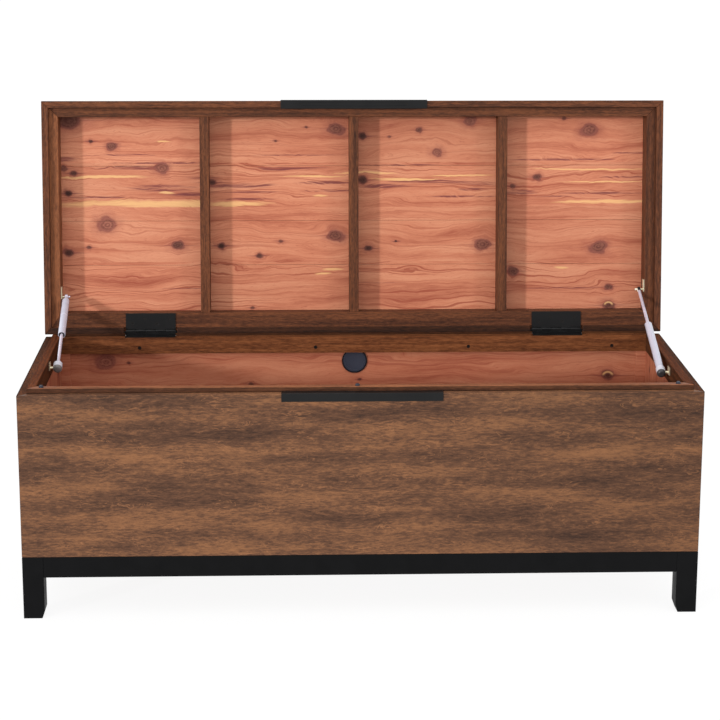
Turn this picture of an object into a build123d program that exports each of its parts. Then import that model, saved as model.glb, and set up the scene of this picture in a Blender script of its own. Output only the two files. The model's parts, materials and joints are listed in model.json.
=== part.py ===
from build123d import *
import os
from math import cos, hypot, radians, sin

# Storage chest with a gas-strut lid, modelled with the lid standing open.
# Millimetres. +X to the right along the long side, +Y to the back, +Z up.
# The origin is on the floor, below the middle of the open chest's bounding box.

# ---- driving dimensions -------------------------------------------------------------------
CASE_WIDTH = 1219.2
CASE_DEPTH = 457.2
BASE_HEIGHT = 116.0
CASE_TOP = 415.0
PANEL = 16.0                  # outer panels; their top edges are the ledge around the lip

RAIL_THICK = 16.0             # lip frame inside the panels
RAIL_HEIGHT = 37.5
RAIL_PROUD = 9.3              # how far the lip stands above the ledge
BACK_RAIL_DROP = 5.3          # the back rail's top is that much lower, under the hinge leaves
BACK_RAIL_STOP = 3.0          # its rear edge keeps the full height, behind the open lid's gap

BOTTOM_THICK = 12.0
FLOOR_LINING = 9.0
SIDE_LINING = 15.0
END_LINING = 8.0              # front and back linings
CORNER_STRIP = 19.0           # vertical strips in the two back corners
CORNER_STRIP_THICK = 7.0
PLANK_GAP = 0.4

BASE_RAIL_HEIGHT = 39.0
BASE_RAIL_THICK = 20.0
LEG = 38.0
LEG_CHAMFER_HEIGHT = 13.0
LEG_CHAMFER_WIDTH = 4.5

LID_THICK = 66.0
LID_GAP = 4.1                 # ledge to the closed lid's rim
RIM = 13.0                    # lid frame boards
STRIP = 18.0                  # inner strips at the front and sides
STRIP_BACK = 28.5
STRIP_RECESS = 9.4            # rim to strip face
LID_RECESS = 42.0             # strip face to cedar face
LID_CEDAR = 5.0
BATTEN = 18.0
BATTENS = 3
LID_PLANKS = (97, 109, 88, 91)  # plank widths in proportion, from the hinge side
WALL_PLANKS = (1, 1, 1)
SIDE_PLANKS = (1, 1, 1, 1)
FLOOR_PLANKS = (1, 1, 1, 1)
OPEN_ANGLE = 97.0

HINGE_INSET = 5.4             # hinge axis to the back of the case
HINGE_LENGTH = 98.0
HINGE_X = 402.0
LEAF = 2.0
LEAF_GAP = 0.2
BARREL_RADIUS = 3.2
PIN_RADIUS = 1.5
RUNNING_CLEARANCE = 0.05
CASE_LEAF_WIDTH = 26.0
LID_LEAF_WIDTH = 35.0
KNUCKLES = 5
KNUCKLE_GAP = 0.3
BARREL_ROOM = 0.4
HINGE_SCREWS = ((-36.0, -15.0), (-12.0, -24.5), (12.0, -15.0), (36.0, -24.5))
CASE_LEAF_SCREW_Y = -18.6
WEB_SPARE = 3.0               # the case leaf's web runs past the barrel's ends by this much
NOTCH_ROOM = 0.4

PULL_LENGTH = 287.0
PULL_SHEET = 1.8
PULL_DROP = 13.6
PULL_REACH = 15.4
PULL_ROUND = 1.2
PULL_SCREW_X = 104.0

GROMMET_Z = 368.8
GROMMET_RADIUS = 25.0
GROMMET_BARREL = 22.0
GROMMET_BORE = 20.0
GROMMET_FLANGE = 2.4
CAP_RADIUS = 22.0
CAP_SEAT = 1.6
CAP_THICK = 1.4
CAP_DISH = 18.5
CAP_DISH_DEPTH = 0.7
GROMMET_ROOM = 0.3

SCREW_HEAD = 3.4
SCREW_SHANK = 1.6
SCREW_LENGTH = 14.0
SCREW_ROOM = 0.1
RECESS_WIDTH = 0.9
RECESS_DEPTH = 1.1
SMALL_HEAD = 2.4
SMALL_SHANK = 1.2
RAIL_SCREW_X = (-423.0, -77.0, 225.0, 510.0)
RAIL_SCREW_DROP = 26.3
BUMPER_X = (-568.0, -8.0, 566.0)
BUMPER_RADIUS = 4.2
BUMPER_HEIGHT = 3.9
BUMPER_ROUND = 2.7

# Gas struts: case pivot depth and lid pivot reach differ, as the two are fitted opposite ways.
STRUT_CASE_Y = {"left": 6.0, "right": -56.0}
STRUT_LID_REACH = {"left": 67.0, "right": 77.0}
STRUT_CASE_Z = 407.0
STRUT_LID_DEPTH = 16.0        # lid pivot, from the hinge axis into the lid
STRUT_CASE_X = 562.5
STRUT_LID_X = 569.0
TUBE_RADIUS = 7.0
TUBE_WALL = 1.2
ROD_RADIUS = 3.0
SOCKET_RADIUS = 8.5
SOCKET_BELOW = 8.0
SOCKET_ABOVE = 13.0
SOCKET_ROUND = 5.5
SOCKET_CHAMFER = 1.2
EYE_RADIUS = 5.0
EYE_THICK = 5.0
EYE_REACH = {"left": 13.0, "right": 8.0}   # eye centre to the end of the tube or rod
ROD_SPARE = {"left": 0.0, "right": 19.0}   # rod still showing with the lid shut
STUD_RADIUS = 2.5
PIVOT_GAP = 0.3
PLATE = 1.8
PLATE_WIDTH = 16.0
PLATE_BELOW = 4.0             # bracket plates run past their stud by this much
CASE_PLATE_ABOVE = 10.5
LID_PLATE_ABOVE = 20.0
PIN_END = 5.0                 # rivet end on the eye's inner side
PIN_END_RADIUS = 2.0
STEM_RADIUS = 3.4
CLOSED_ROOM = 1.0             # tube end to socket with the lid shut
PISTON_LENGTH = 8.0
GLAND_LENGTH = 7.0
GLAND_GAP = 1.0               # gland to piston, and the bore's run past the gland's ends
TUBE_ROUND = 3.0
END_WALL = 2.5

# ---- derived places -----------------------------------------------------------------------
HALF_X = CASE_WIDTH / 2
HALF_Y = CASE_DEPTH / 2
LIP_TOP = CASE_TOP + RAIL_PROUD
RAIL_BOTTOM = LIP_TOP - RAIL_HEIGHT
FLOOR_TOP = BASE_HEIGHT + BOTTOM_THICK
LINING_BOTTOM = FLOOR_TOP + FLOOR_LINING
HINGE_Z = LIP_TOP + LEAF + LEAF_GAP / 2
HINGE_LOCAL_Y = HALF_Y - HINGE_INSET
CASE_LEAF_BOTTOM = LIP_TOP - BACK_RAIL_DROP - HINGE_Z     # from the hinge axis

# Lid heights and depths, measured from the hinge axis with the lid closed.
RIM_Z = CASE_TOP + LID_GAP - HINGE_Z
STRIP_Z = RIM_Z + STRIP_RECESS
CEDAR_Z = STRIP_Z + LID_RECESS
TOP_PANEL_Z = CEDAR_Z + LID_CEDAR
LID_TOP_Z = RIM_Z + LID_THICK
LID_BACK = HINGE_INSET
LID_FRONT = HINGE_INSET - CASE_DEPTH

# The open chest reaches from the case pull's face back to the lid's top front edge.
BOX_FRONT = -HALF_Y - PULL_SHEET
OPEN_SIN = sin(radians(OPEN_ANGLE))
OPEN_COS = cos(radians(OPEN_ANGLE))
BOX_BACK = HINGE_LOCAL_Y + LID_FRONT * OPEN_COS + LID_TOP_Z * OPEN_SIN
CASE_Y = -(BOX_FRONT + BOX_BACK) / 2
HINGE_Y = CASE_Y + HINGE_LOCAL_Y

CASE = Plane(origin=(0, CASE_Y, 0))
LID = Plane(origin=(0, HINGE_Y, HINGE_Z), x_dir=(1, 0, 0), z_dir=(0, OPEN_SIN, OPEN_COS))

TOP = (Align.CENTER, Align.CENTER, Align.MAX)
BOTTOM = (Align.CENTER, Align.CENTER, Align.MIN)
SIDES = ("front", "back", "left", "right")
HANDS = {"left": -1, "right": 1}

os.makedirs("parts", exist_ok=True)


def save(part, name):
    part.label = name
    export_step(part, f"parts/{name}.step")


def inset(rect, sides, front, back):
    x0, x1, y0, y1 = rect
    return (x0 + sides, x1 - sides, y0 + front, y1 - back)


def frame_corners(side, outer, inner):
    """Outline of one mitred member of a rectangular frame."""
    order = {"front": (0, 1), "right": (1, 2), "back": (2, 3), "left": (3, 0)}
    corners = []
    for x0, x1, y0, y1 in (outer, inner):
        corners.append(((x0, y0), (x1, y0), (x1, y1), (x0, y1)))
    start, end = order[side]
    return (corners[0][start], corners[0][end], corners[1][end], corners[1][start])


def frame_member(plane, side, outer, inner, height):
    with BuildPart() as member:
        with BuildSketch(plane):
            with BuildLine():
                Polyline(*frame_corners(side, outer, inner), close=True)
            make_face()
        extrude(amount=height)
    return member.part


def planks(plane, rect, widths, thick, along_x):
    """A wall of planks with widths in the given proportion and a narrow joint between each two.
    The first plank is at the low end, and all run along x or all along y."""
    x0, x1, y0, y1 = rect
    across = (y1 - y0) if along_x else (x1 - x0)
    unit = across / sum(widths)
    middle = -across / 2
    with BuildPart() as wall:
        with BuildSketch(plane):
            with Locations(((x0 + x1) / 2, (y0 + y1) / 2)):
                for width in widths:
                    middle += width * unit / 2
                    with Locations((0, middle) if along_x else (middle, 0)):
                        if along_x:
                            Rectangle(x1 - x0, width * unit - PLANK_GAP)
                        else:
                            Rectangle(width * unit - PLANK_GAP, y1 - y0)
                    middle += width * unit / 2
        extrude(amount=thick)
    return wall.part


def spot(plane, x, y, z, facing=1):
    """Plane at a point given in another plane's own coordinates, facing along its z or against it."""
    return Plane(origin=plane.from_local_coords((x, y, z)), x_dir=plane.x_dir,
                 z_dir=plane.z_dir * facing)


def section(plane, x):
    """Plane across a member: its x and y are the given plane's y and z."""
    return Plane(origin=plane.from_local_coords((x, 0, 0)), x_dir=plane.y_dir, z_dir=plane.x_dir)


def screws(places, head, shank, length):
    """Countersunk screws with their heads flush with each place and a cross recess."""
    with BuildPart() as group:
        with Locations(*places):
            Cylinder(shank, length, align=TOP)
            Cone(shank, head, head - shank, align=TOP)
            Box(head, RECESS_WIDTH, RECESS_DEPTH, align=TOP, mode=Mode.SUBTRACT)
            Box(RECESS_WIDTH, head, RECESS_DEPTH, align=TOP, mode=Mode.SUBTRACT)
    return group.part


def bore_for_screws(part, places, head, shank, depth):
    """Clearance holes for the same screws, countersunk where the head sits in this part."""
    with BuildPart() as bored:
        add(part)
        with Locations(*places):
            Cylinder(shank + SCREW_ROOM, depth, align=TOP, mode=Mode.SUBTRACT)
            if head:
                Cone(shank + SCREW_ROOM, head + SCREW_ROOM, head - shank, align=TOP,
                     mode=Mode.SUBTRACT)
    return bored.part


def box_between(plane, x, y, z):
    """Solid filling the given ranges of a plane's own x, y and z."""
    with BuildPart() as block:
        with BuildSketch(plane.offset(z[0])):
            with Locations(((x[0] + x[1]) / 2, (y[0] + y[1]) / 2)):
                Rectangle(x[1] - x[0], y[1] - y[0])
        extrude(amount=z[1] - z[0])
    return block.part


# ---- case carcass -------------------------------------------------------------------------
case_rect = (-HALF_X, HALF_X, -HALF_Y, HALF_Y)
panel_inner = inset(case_rect, PANEL, PANEL, PANEL)
rail_inner = inset(panel_inner, RAIL_THICK, RAIL_THICK, RAIL_THICK)
lining_inner = inset(panel_inner, SIDE_LINING, END_LINING, END_LINING)

# Upright planes across the chest: their x is -X, their y is up and they face the back.
FRONT_LINING = Plane(origin=(0, CASE_Y - HALF_Y + PANEL, 0), x_dir=(-1, 0, 0), z_dir=(0, 1, 0))
BACK_LINING = Plane(origin=(0, CASE_Y + lining_inner[3], 0), x_dir=(-1, 0, 0), z_dir=(0, 1, 0))
GROMMET = Plane(origin=(0, CASE_Y + lining_inner[3], GROMMET_Z), x_dir=(1, 0, 0),
                z_dir=(0, -1, 0))
RAIL_FACE = Plane(origin=(0, CASE_Y + rail_inner[3], 0), x_dir=(1, 0, 0), z_dir=(0, -1, 0))

rail_screw_places = [spot(RAIL_FACE, x, LIP_TOP - RAIL_SCREW_DROP, 0) for x in RAIL_SCREW_X]


def case_leaf_screw_places():
    hinge = Plane(origin=(0, HINGE_Y, HINGE_Z))
    places = []
    for centre in (-HINGE_X, HINGE_X):
        for x, _ in HINGE_SCREWS:
            places.append(spot(hinge, centre + x, CASE_LEAF_SCREW_Y, CASE_LEAF_BOTTOM + LEAF))
    return places


def lid_leaf_screw_places():
    places = []
    for centre in (-HINGE_X, HINGE_X):
        for x, y in HINGE_SCREWS:
            places.append(spot(LID, centre + x, y, LEAF_GAP / 2, facing=-1))
    return places


def bore_for_grommet(part, radius, plane, depth):
    with BuildPart() as bored:
        add(part)
        with Locations(plane):
            Cylinder(radius, depth, align=TOP, mode=Mode.SUBTRACT)
    return bored.part


def carcass():
    height = CASE_TOP - BASE_HEIGHT
    for side in SIDES:
        panel = frame_member(CASE.offset(BASE_HEIGHT), side, case_rect, panel_inner, height)
        if side == "back":
            panel = bore_for_grommet(panel, GROMMET_BARREL + GROMMET_ROOM, GROMMET,
                                     END_LINING + PANEL)
        save(panel, f"case_{side}_panel")
    x0, x1, y0, y1 = panel_inner
    bottom = box_between(CASE, (x0, x1), (y0, y1), (BASE_HEIGHT, FLOOR_TOP))
    save(bottom, "case_bottom_panel")


def rebate_back_rail(rail):
    """Lower the back rail's top in front of its stop, and break the stop at the hinges."""
    x0, x1, _, y1 = panel_inner
    z_range = (LIP_TOP - BACK_RAIL_DROP, LIP_TOP)
    notch = HINGE_LENGTH / 2 + NOTCH_ROOM
    cuts = [box_between(CASE, (x0, x1), (rail_inner[3], y1 - BACK_RAIL_STOP), z_range)]
    for centre in (-HINGE_X, HINGE_X):
        hinge_x = (centre - notch, centre + notch)
        cuts.append(box_between(CASE, hinge_x, (rail_inner[3], y1), z_range))
    with BuildPart() as rebated:
        add(rail)
        for cut in cuts:
            add(cut, mode=Mode.SUBTRACT)
    return rebated.part


def lip_rails():
    for side in SIDES:
        rail = frame_member(CASE.offset(RAIL_BOTTOM), side, panel_inner, rail_inner, RAIL_HEIGHT)
        if side == "back":
            rail = rebate_back_rail(rail)
            # The grommet's flange tucks into a pocket in the back of this rail.
            pocket = GROMMET.offset(GROMMET_FLANGE + GROMMET_ROOM)
            rail = bore_for_grommet(rail, GROMMET_RADIUS + GROMMET_ROOM, pocket, RAIL_THICK)
            rail = bore_for_screws(rail, rail_screw_places, SCREW_HEAD, SCREW_SHANK, RAIL_THICK)
            rail = bore_for_screws(rail, case_leaf_screw_places(), 0, SCREW_SHANK,
                                   SCREW_LENGTH + LEAF)
        save(rail, f"lip_rail_{side}")
    save(screws(rail_screw_places, SCREW_HEAD, SCREW_SHANK, SCREW_LENGTH), "lip_rail_screws")


def cedar_linings():
    z_range = (LINING_BOTTOM, RAIL_BOTTOM)
    x0, x1, y0, y1 = panel_inner
    end_wall = (x0, x1, *z_range)
    save(planks(FRONT_LINING, end_wall, WALL_PLANKS, END_LINING, True), "lining_front")
    back = planks(BACK_LINING, end_wall, WALL_PLANKS, END_LINING, True)
    back = bore_for_grommet(back, GROMMET_BARREL + GROMMET_ROOM, GROMMET, END_LINING)
    strip_centre = lining_inner[1] - CORNER_STRIP / 2
    with BuildPart() as back_wall:
        add(back)
        with BuildSketch(BACK_LINING.offset(-PLANK_GAP / 2)):
            with Locations((-strip_centre, sum(z_range) / 2), (strip_centre, sum(z_range) / 2)):
                Rectangle(CORNER_STRIP, RAIL_BOTTOM - LINING_BOTTOM)
        extrude(amount=PLANK_GAP / 2 - CORNER_STRIP_THICK)
    save(back_wall.part, "lining_back")
    for hand, x in (("left", x0), ("right", x1 - SIDE_LINING)):
        plane = Plane(origin=(x, CASE_Y, 0), x_dir=(0, 1, 0), z_dir=(1, 0, 0))
        side_wall = (lining_inner[2], lining_inner[3], *z_range)
        save(planks(plane, side_wall, SIDE_PLANKS, SIDE_LINING, False), f"lining_{hand}")
    save(planks(CASE.offset(FLOOR_TOP), panel_inner, FLOOR_PLANKS, FLOOR_LINING, True),
         "lining_floor")


def grommet():
    through = END_LINING + PANEL
    with BuildPart() as ring:
        with Locations(GROMMET):
            Cylinder(GROMMET_RADIUS, GROMMET_FLANGE, align=BOTTOM)
            Cylinder(GROMMET_BARREL, through, align=TOP)
            Cylinder(GROMMET_BORE, 3 * through, mode=Mode.SUBTRACT)
        with Locations(GROMMET.offset(GROMMET_FLANGE)):
            Cylinder(CAP_RADIUS + SCREW_ROOM, CAP_SEAT, align=TOP, mode=Mode.SUBTRACT)
    save(ring.part, "grommet_ring")
    with BuildPart() as cap:
        with Locations(GROMMET.offset(GROMMET_FLANGE - CAP_SEAT)):
            Cylinder(CAP_RADIUS, CAP_THICK, align=BOTTOM)
            Cylinder(GROMMET_BORE - SCREW_ROOM, END_LINING, align=TOP)
        with Locations(GROMMET.offset(GROMMET_FLANGE - CAP_SEAT + CAP_THICK)):
            Cylinder(CAP_DISH, CAP_DISH_DEPTH, align=TOP, mode=Mode.SUBTRACT)
    save(cap.part, "grommet_cap")


def bumpers():
    with BuildPart() as pads:
        with Locations(*[(x, CASE_Y - HALF_Y + PANEL + RAIL_THICK / 2, LIP_TOP)
                         for x in BUMPER_X]):
            Cylinder(BUMPER_RADIUS, BUMPER_HEIGHT, align=BOTTOM)
        fillet(pads.edges().group_by(Axis.Z)[-1], BUMPER_ROUND)
    save(pads.part, "lip_bumpers")


# ---- base ---------------------------------------------------------------------------------
def leg(hand, end):
    """Square leg whose two inner faces are cut back at the foot."""
    x_sign = HANDS[hand]
    y_sign = -1 if end == "front" else 1
    corner = (x_sign * HALF_X, CASE_Y + y_sign * HALF_Y, 0)
    profile = ((0, 0), (LEG - LEG_CHAMFER_WIDTH, 0), (LEG, LEG_CHAMFER_HEIGHT),
               (LEG, BASE_HEIGHT), (0, BASE_HEIGHT))
    along_x = Plane(origin=corner, x_dir=(-x_sign, 0, 0), z_dir=(0, x_sign, 0))
    along_y = Plane(origin=corner, x_dir=(0, -y_sign, 0), z_dir=(-y_sign, 0, 0))
    with BuildPart() as foot:
        with BuildSketch(along_x):
            with BuildLine():
                Polyline(*profile, close=True)
            make_face()
        extrude(amount=LEG, both=True)
        with BuildSketch(along_y):
            with BuildLine():
                Polyline(*profile, close=True)
            make_face()
        extrude(amount=LEG, both=True, mode=Mode.INTERSECT)
    save(foot.part, f"leg_{end}_{hand}")


def base():
    for end in ("front", "back"):
        for hand in HANDS:
            leg(hand, end)
    x0, x1, y0, y1 = case_rect
    rail = BASE_RAIL_THICK
    z_range = (BASE_HEIGHT - BASE_RAIL_HEIGHT, BASE_HEIGHT)
    long_x = (x0 + LEG, x1 - LEG)
    short_y = (y0 + LEG, y1 - LEG)
    save(box_between(CASE, long_x, (y0, y0 + rail), z_range), "base_rail_front")
    save(box_between(CASE, long_x, (y1 - rail, y1), z_range), "base_rail_back")
    save(box_between(CASE, (x0, x0 + rail), short_y, z_range), "base_rail_left")
    save(box_between(CASE, (x1 - rail, x1), short_y, z_range), "base_rail_right")


# ---- lid ----------------------------------------------------------------------------------
lid_rect = (-HALF_X, HALF_X, LID_FRONT, LID_BACK)
rim_inner = inset(lid_rect, RIM, RIM, RIM)
strip_inner = inset(rim_inner, STRIP, STRIP, STRIP_BACK)
pull_screw_places = [spot(LID, x, LID_FRONT + RIM / 2, RIM_Z - PULL_SHEET, facing=-1)
                     for x in (-PULL_SCREW_X, PULL_SCREW_X)]


def lid_frame():
    for side in SIDES:
        board = frame_member(LID.offset(RIM_Z), side, lid_rect, rim_inner, LID_THICK)
        if side == "front":
            board = bore_for_screws(board, pull_screw_places, 0, SMALL_SHANK,
                                    SCREW_LENGTH + PULL_SHEET)
        if side == "back":
            # Notches that the hinge barrels turn in.
            notch_half = HINGE_LENGTH / 2 + WEB_SPARE + NOTCH_ROOM
            notch_top = BARREL_RADIUS + 2 * BARREL_ROOM
            with BuildPart() as notched:
                add(board)
                for centre in (-HINGE_X, HINGE_X):
                    with BuildSketch(LID.offset(RIM_Z)):
                        with Locations((centre, LID_BACK - RIM / 2)):
                            Rectangle(2 * notch_half, RIM)
                    extrude(amount=notch_top - RIM_Z, mode=Mode.SUBTRACT)
            board = notched.part
        save(board, f"lid_frame_{side}")


def lid_inside():
    depth = TOP_PANEL_Z - STRIP_Z
    for side in SIDES:
        strip = frame_member(LID.offset(STRIP_Z), side, rim_inner, strip_inner, depth)
        if side == "back":
            strip = bore_for_screws(strip, lid_leaf_screw_places(), 0, SCREW_SHANK,
                                    SCREW_LENGTH + LEAF)
        save(strip, f"lid_strip_{side}")
    x0, x1, y0, y1 = strip_inner
    bay = (x1 - x0 - BATTENS * BATTEN) / (BATTENS + 1)
    with BuildPart() as battens:
        with BuildSketch(LID.offset(STRIP_Z)):
            with Locations((0, (y0 + y1) / 2)):
                with GridLocations(bay + BATTEN, 1, BATTENS, 1):
                    Rectangle(BATTEN, y1 - y0)
        extrude(amount=depth)
    save(battens.part, "lid_battens")
    for number in range(BATTENS + 1):
        start = x0 + number * (bay + BATTEN)
        panel = planks(LID.offset(CEDAR_Z), (start, start + bay, y0, y1), LID_PLANKS,
                       LID_CEDAR, True)
        save(panel, f"lid_cedar_{number + 1}")
    x0, x1, y0, y1 = rim_inner
    save(box_between(LID, (x0, x1), (y0, y1), (TOP_PANEL_Z, LID_TOP_Z)), "lid_top_panel")


# ---- edge pulls: bent sheet, one on the case's edge and one on the lid's ----------------------
def pull(plane, front, seat, up):
    """L of sheet wrapped over an edge. up is 1 where it sits on top of the edge."""
    outer = seat + up * PULL_SHEET
    inside = seat - up * PULL_DROP
    with BuildPart() as sheet:
        with BuildSketch(section(plane, -PULL_LENGTH / 2)):
            with BuildLine():
                Polyline((front + PULL_REACH, seat), (front + PULL_REACH, outer),
                         (front - PULL_SHEET, outer), (front - PULL_SHEET, inside),
                         (front, inside), (front, seat), close=True)
            make_face()
        extrude(amount=PULL_LENGTH)
        corner = spot(plane, 0, front - PULL_SHEET, outer)
        bend = sheet.edges().filter_by(Axis.X).sort_by_distance(corner.origin)[0]
        fillet(bend, PULL_ROUND)
    return sheet.part


def pulls():
    save(pull(CASE, -HALF_Y, CASE_TOP, 1), "case_pull")
    lid_pull = pull(LID, LID_FRONT, RIM_Z, -1)
    lid_pull = bore_for_screws(lid_pull, pull_screw_places, SMALL_HEAD, SMALL_SHANK,
                               SCREW_LENGTH)
    save(lid_pull, "lid_pull")
    save(screws(pull_screw_places, SMALL_HEAD, SMALL_SHANK, SCREW_LENGTH), "lid_pull_screws")


# ---- butt hinges --------------------------------------------------------------------------
def hinge_leaves(plane, bottom, width, web, own, bore, places):
    """Both hinges' leaves on one side, each with its share of the knuckles. A leaf that lies below
    its knuckles carries them on an upright web."""
    pitch = HINGE_LENGTH / KNUCKLES
    with BuildPart() as leaves:
        for centre in (-HINGE_X, HINGE_X):
            with BuildSketch(plane.offset(bottom)):
                with Locations((centre, -width / 2)):
                    Rectangle(HINGE_LENGTH, width)
            extrude(amount=LEAF)
            if web:
                with BuildSketch(plane.offset(bottom)):
                    with Locations((centre, LEAF / 2 - BARREL_RADIUS)):
                        Rectangle(HINGE_LENGTH + 2 * WEB_SPARE, LEAF)
                extrude(amount=web)
        for centre in (-HINGE_X, HINGE_X):
            for number in range(KNUCKLES):
                x = centre + (number - (KNUCKLES - 1) / 2) * pitch
                across = Plane(origin=plane.from_local_coords((x, 0, 0)), z_dir=(1, 0, 0))
                with Locations(across):
                    if number % 2 == own:
                        Cylinder(BARREL_RADIUS, pitch - KNUCKLE_GAP)
                    else:
                        Cylinder(BARREL_RADIUS + BARREL_ROOM, pitch + KNUCKLE_GAP,
                                 mode=Mode.SUBTRACT)
            across = Plane(origin=plane.from_local_coords((centre, 0, 0)), z_dir=(1, 0, 0))
            with Locations(across):
                Cylinder(bore, 2 * HINGE_LENGTH, mode=Mode.SUBTRACT)
    return bore_for_screws(leaves.part, places, SCREW_HEAD, SCREW_SHANK, LEAF)


def hinges():
    flat = Plane(origin=(0, HINGE_Y, HINGE_Z))
    case_places = case_leaf_screw_places()
    lid_places = lid_leaf_screw_places()
    case_leaves = hinge_leaves(flat, CASE_LEAF_BOTTOM, CASE_LEAF_WIDTH, -CASE_LEAF_BOTTOM, 0,
                               PIN_RADIUS, case_places)
    save(case_leaves, "hinge_case_leaves")
    lid_leaves = hinge_leaves(LID, LEAF_GAP / 2, LID_LEAF_WIDTH, 0, 1,
                              PIN_RADIUS + RUNNING_CLEARANCE, lid_places)
    save(lid_leaves, "hinge_lid_leaves")
    with BuildPart() as pins:
        with Locations(*[Plane(origin=(x, HINGE_Y, HINGE_Z), z_dir=(1, 0, 0))
                         for x in (-HINGE_X, HINGE_X)]):
            Cylinder(PIN_RADIUS, HINGE_LENGTH + 2 * KNUCKLE_GAP)
    save(pins.part, "hinge_pins")
    save(screws(case_places, SCREW_HEAD, SCREW_SHANK, SCREW_LENGTH), "hinge_case_screws")
    save(screws(lid_places, SCREW_HEAD, SCREW_SHANK, SCREW_LENGTH), "hinge_lid_screws")


# ---- gas struts ---------------------------------------------------------------------------
def strut_motion(hand):
    """Case pivot, lid pivot with the lid open, and how much the strut shortens to shut."""
    sign = HANDS[hand]
    reach = STRUT_LID_REACH[hand]
    low = Vector(sign * STRUT_CASE_X, CASE_Y + STRUT_CASE_Y[hand], STRUT_CASE_Z)
    high = LID.from_local_coords((sign * STRUT_LID_X, -reach, STRUT_LID_DEPTH))
    span = high - low
    shut_y = HINGE_Y - reach - low.Y
    shut_z = HINGE_Z + STRUT_LID_DEPTH - low.Z
    lean = hypot(span.Y, span.Z) / span.length
    stroke = span.length - hypot(shut_y, shut_z) / lean
    return low, high, stroke


def along(plane, start, radius, length, mode=Mode.ADD):
    with Locations(plane.offset(start)):
        Cylinder(radius, length, align=BOTTOM, mode=mode)


def gas_strut(hand, tube_on_top):
    low, high, stroke = strut_motion(hand)
    span = high - low
    length = span.length
    line = Plane(origin=low, x_dir=(1, 0, 0), z_dir=span)
    bore = TUBE_RADIUS - TUBE_WALL
    eye_reach = EYE_REACH[hand]
    tube_length = length - stroke - eye_reach - SOCKET_ABOVE - CLOSED_ROOM - ROD_SPARE[hand]
    tube_start = length - eye_reach - tube_length if tube_on_top else SOCKET_ABOVE
    tube_end = tube_start + tube_length
    mouth = tube_start if tube_on_top else tube_end - GLAND_LENGTH
    cavity = tube_start - END_WALL if tube_on_top else tube_start + END_WALL
    with BuildPart() as tube:
        along(line, tube_start, TUBE_RADIUS, tube_length)
        ends = tube.edges().filter_by(GeomType.CIRCLE).sort_by(Axis(low, span))
        fillet(ends[-1] if tube_on_top else ends[0], TUBE_ROUND)
        along(line, cavity, bore, tube_length, Mode.SUBTRACT)
    save(tube.part, f"{hand}_strut_tube")
    with BuildPart() as gland:
        along(line, mouth, bore, GLAND_LENGTH)
        along(line, mouth - GLAND_GAP, ROD_RADIUS + RUNNING_CLEARANCE,
              GLAND_LENGTH + 2 * GLAND_GAP, Mode.SUBTRACT)
    save(gland.part, f"{hand}_strut_gland")

    if tube_on_top:
        rod_start = SOCKET_ABOVE
        piston = mouth + GLAND_LENGTH + GLAND_GAP
        rod_end = piston + PISTON_LENGTH
    else:
        piston = mouth - GLAND_GAP - PISTON_LENGTH
        rod_start = piston
        rod_end = length - eye_reach
    with BuildPart() as rod:
        along(line, rod_start, ROD_RADIUS, rod_end - rod_start)
        along(line, piston, bore - SCREW_ROOM, PISTON_LENGTH)
    save(rod.part, f"{hand}_strut_rod")

    sideways = Plane(origin=low, x_dir=(0, 1, 0), z_dir=(HANDS[hand], 0, 0))
    with BuildPart() as socket:
        along(line, -SOCKET_BELOW, SOCKET_RADIUS, SOCKET_BELOW + SOCKET_ABOVE)
        ends = socket.edges().filter_by(GeomType.CIRCLE).sort_by(Axis(low, span))
        fillet(ends[0], SOCKET_ROUND)
        chamfer(ends[-1], SOCKET_CHAMFER)
        with Locations(sideways.offset(-STUD_RADIUS - PIVOT_GAP)):
            Cylinder(STUD_RADIUS + RUNNING_CLEARANCE, 2 * SOCKET_RADIUS, align=BOTTOM,
                     mode=Mode.SUBTRACT)
    save(socket.part, f"{hand}_strut_socket")

    across = Plane(origin=high, x_dir=(0, 1, 0), z_dir=(-HANDS[hand], 0, 0))
    with BuildPart() as eye:
        with Locations(across):
            Cylinder(EYE_RADIUS, EYE_THICK)
            Cylinder(PIN_END_RADIUS, EYE_THICK / 2 + PIN_END, align=BOTTOM)
        along(line, length - eye_reach, STEM_RADIUS, eye_reach)
        with Locations(across.offset(-EYE_THICK / 2)):
            # The stem stops flush with the eye's outer face.
            Box(3 * eye_reach, 3 * eye_reach, EYE_RADIUS, align=TOP, mode=Mode.SUBTRACT)
    save(eye.part, f"{hand}_strut_eye")


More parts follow.
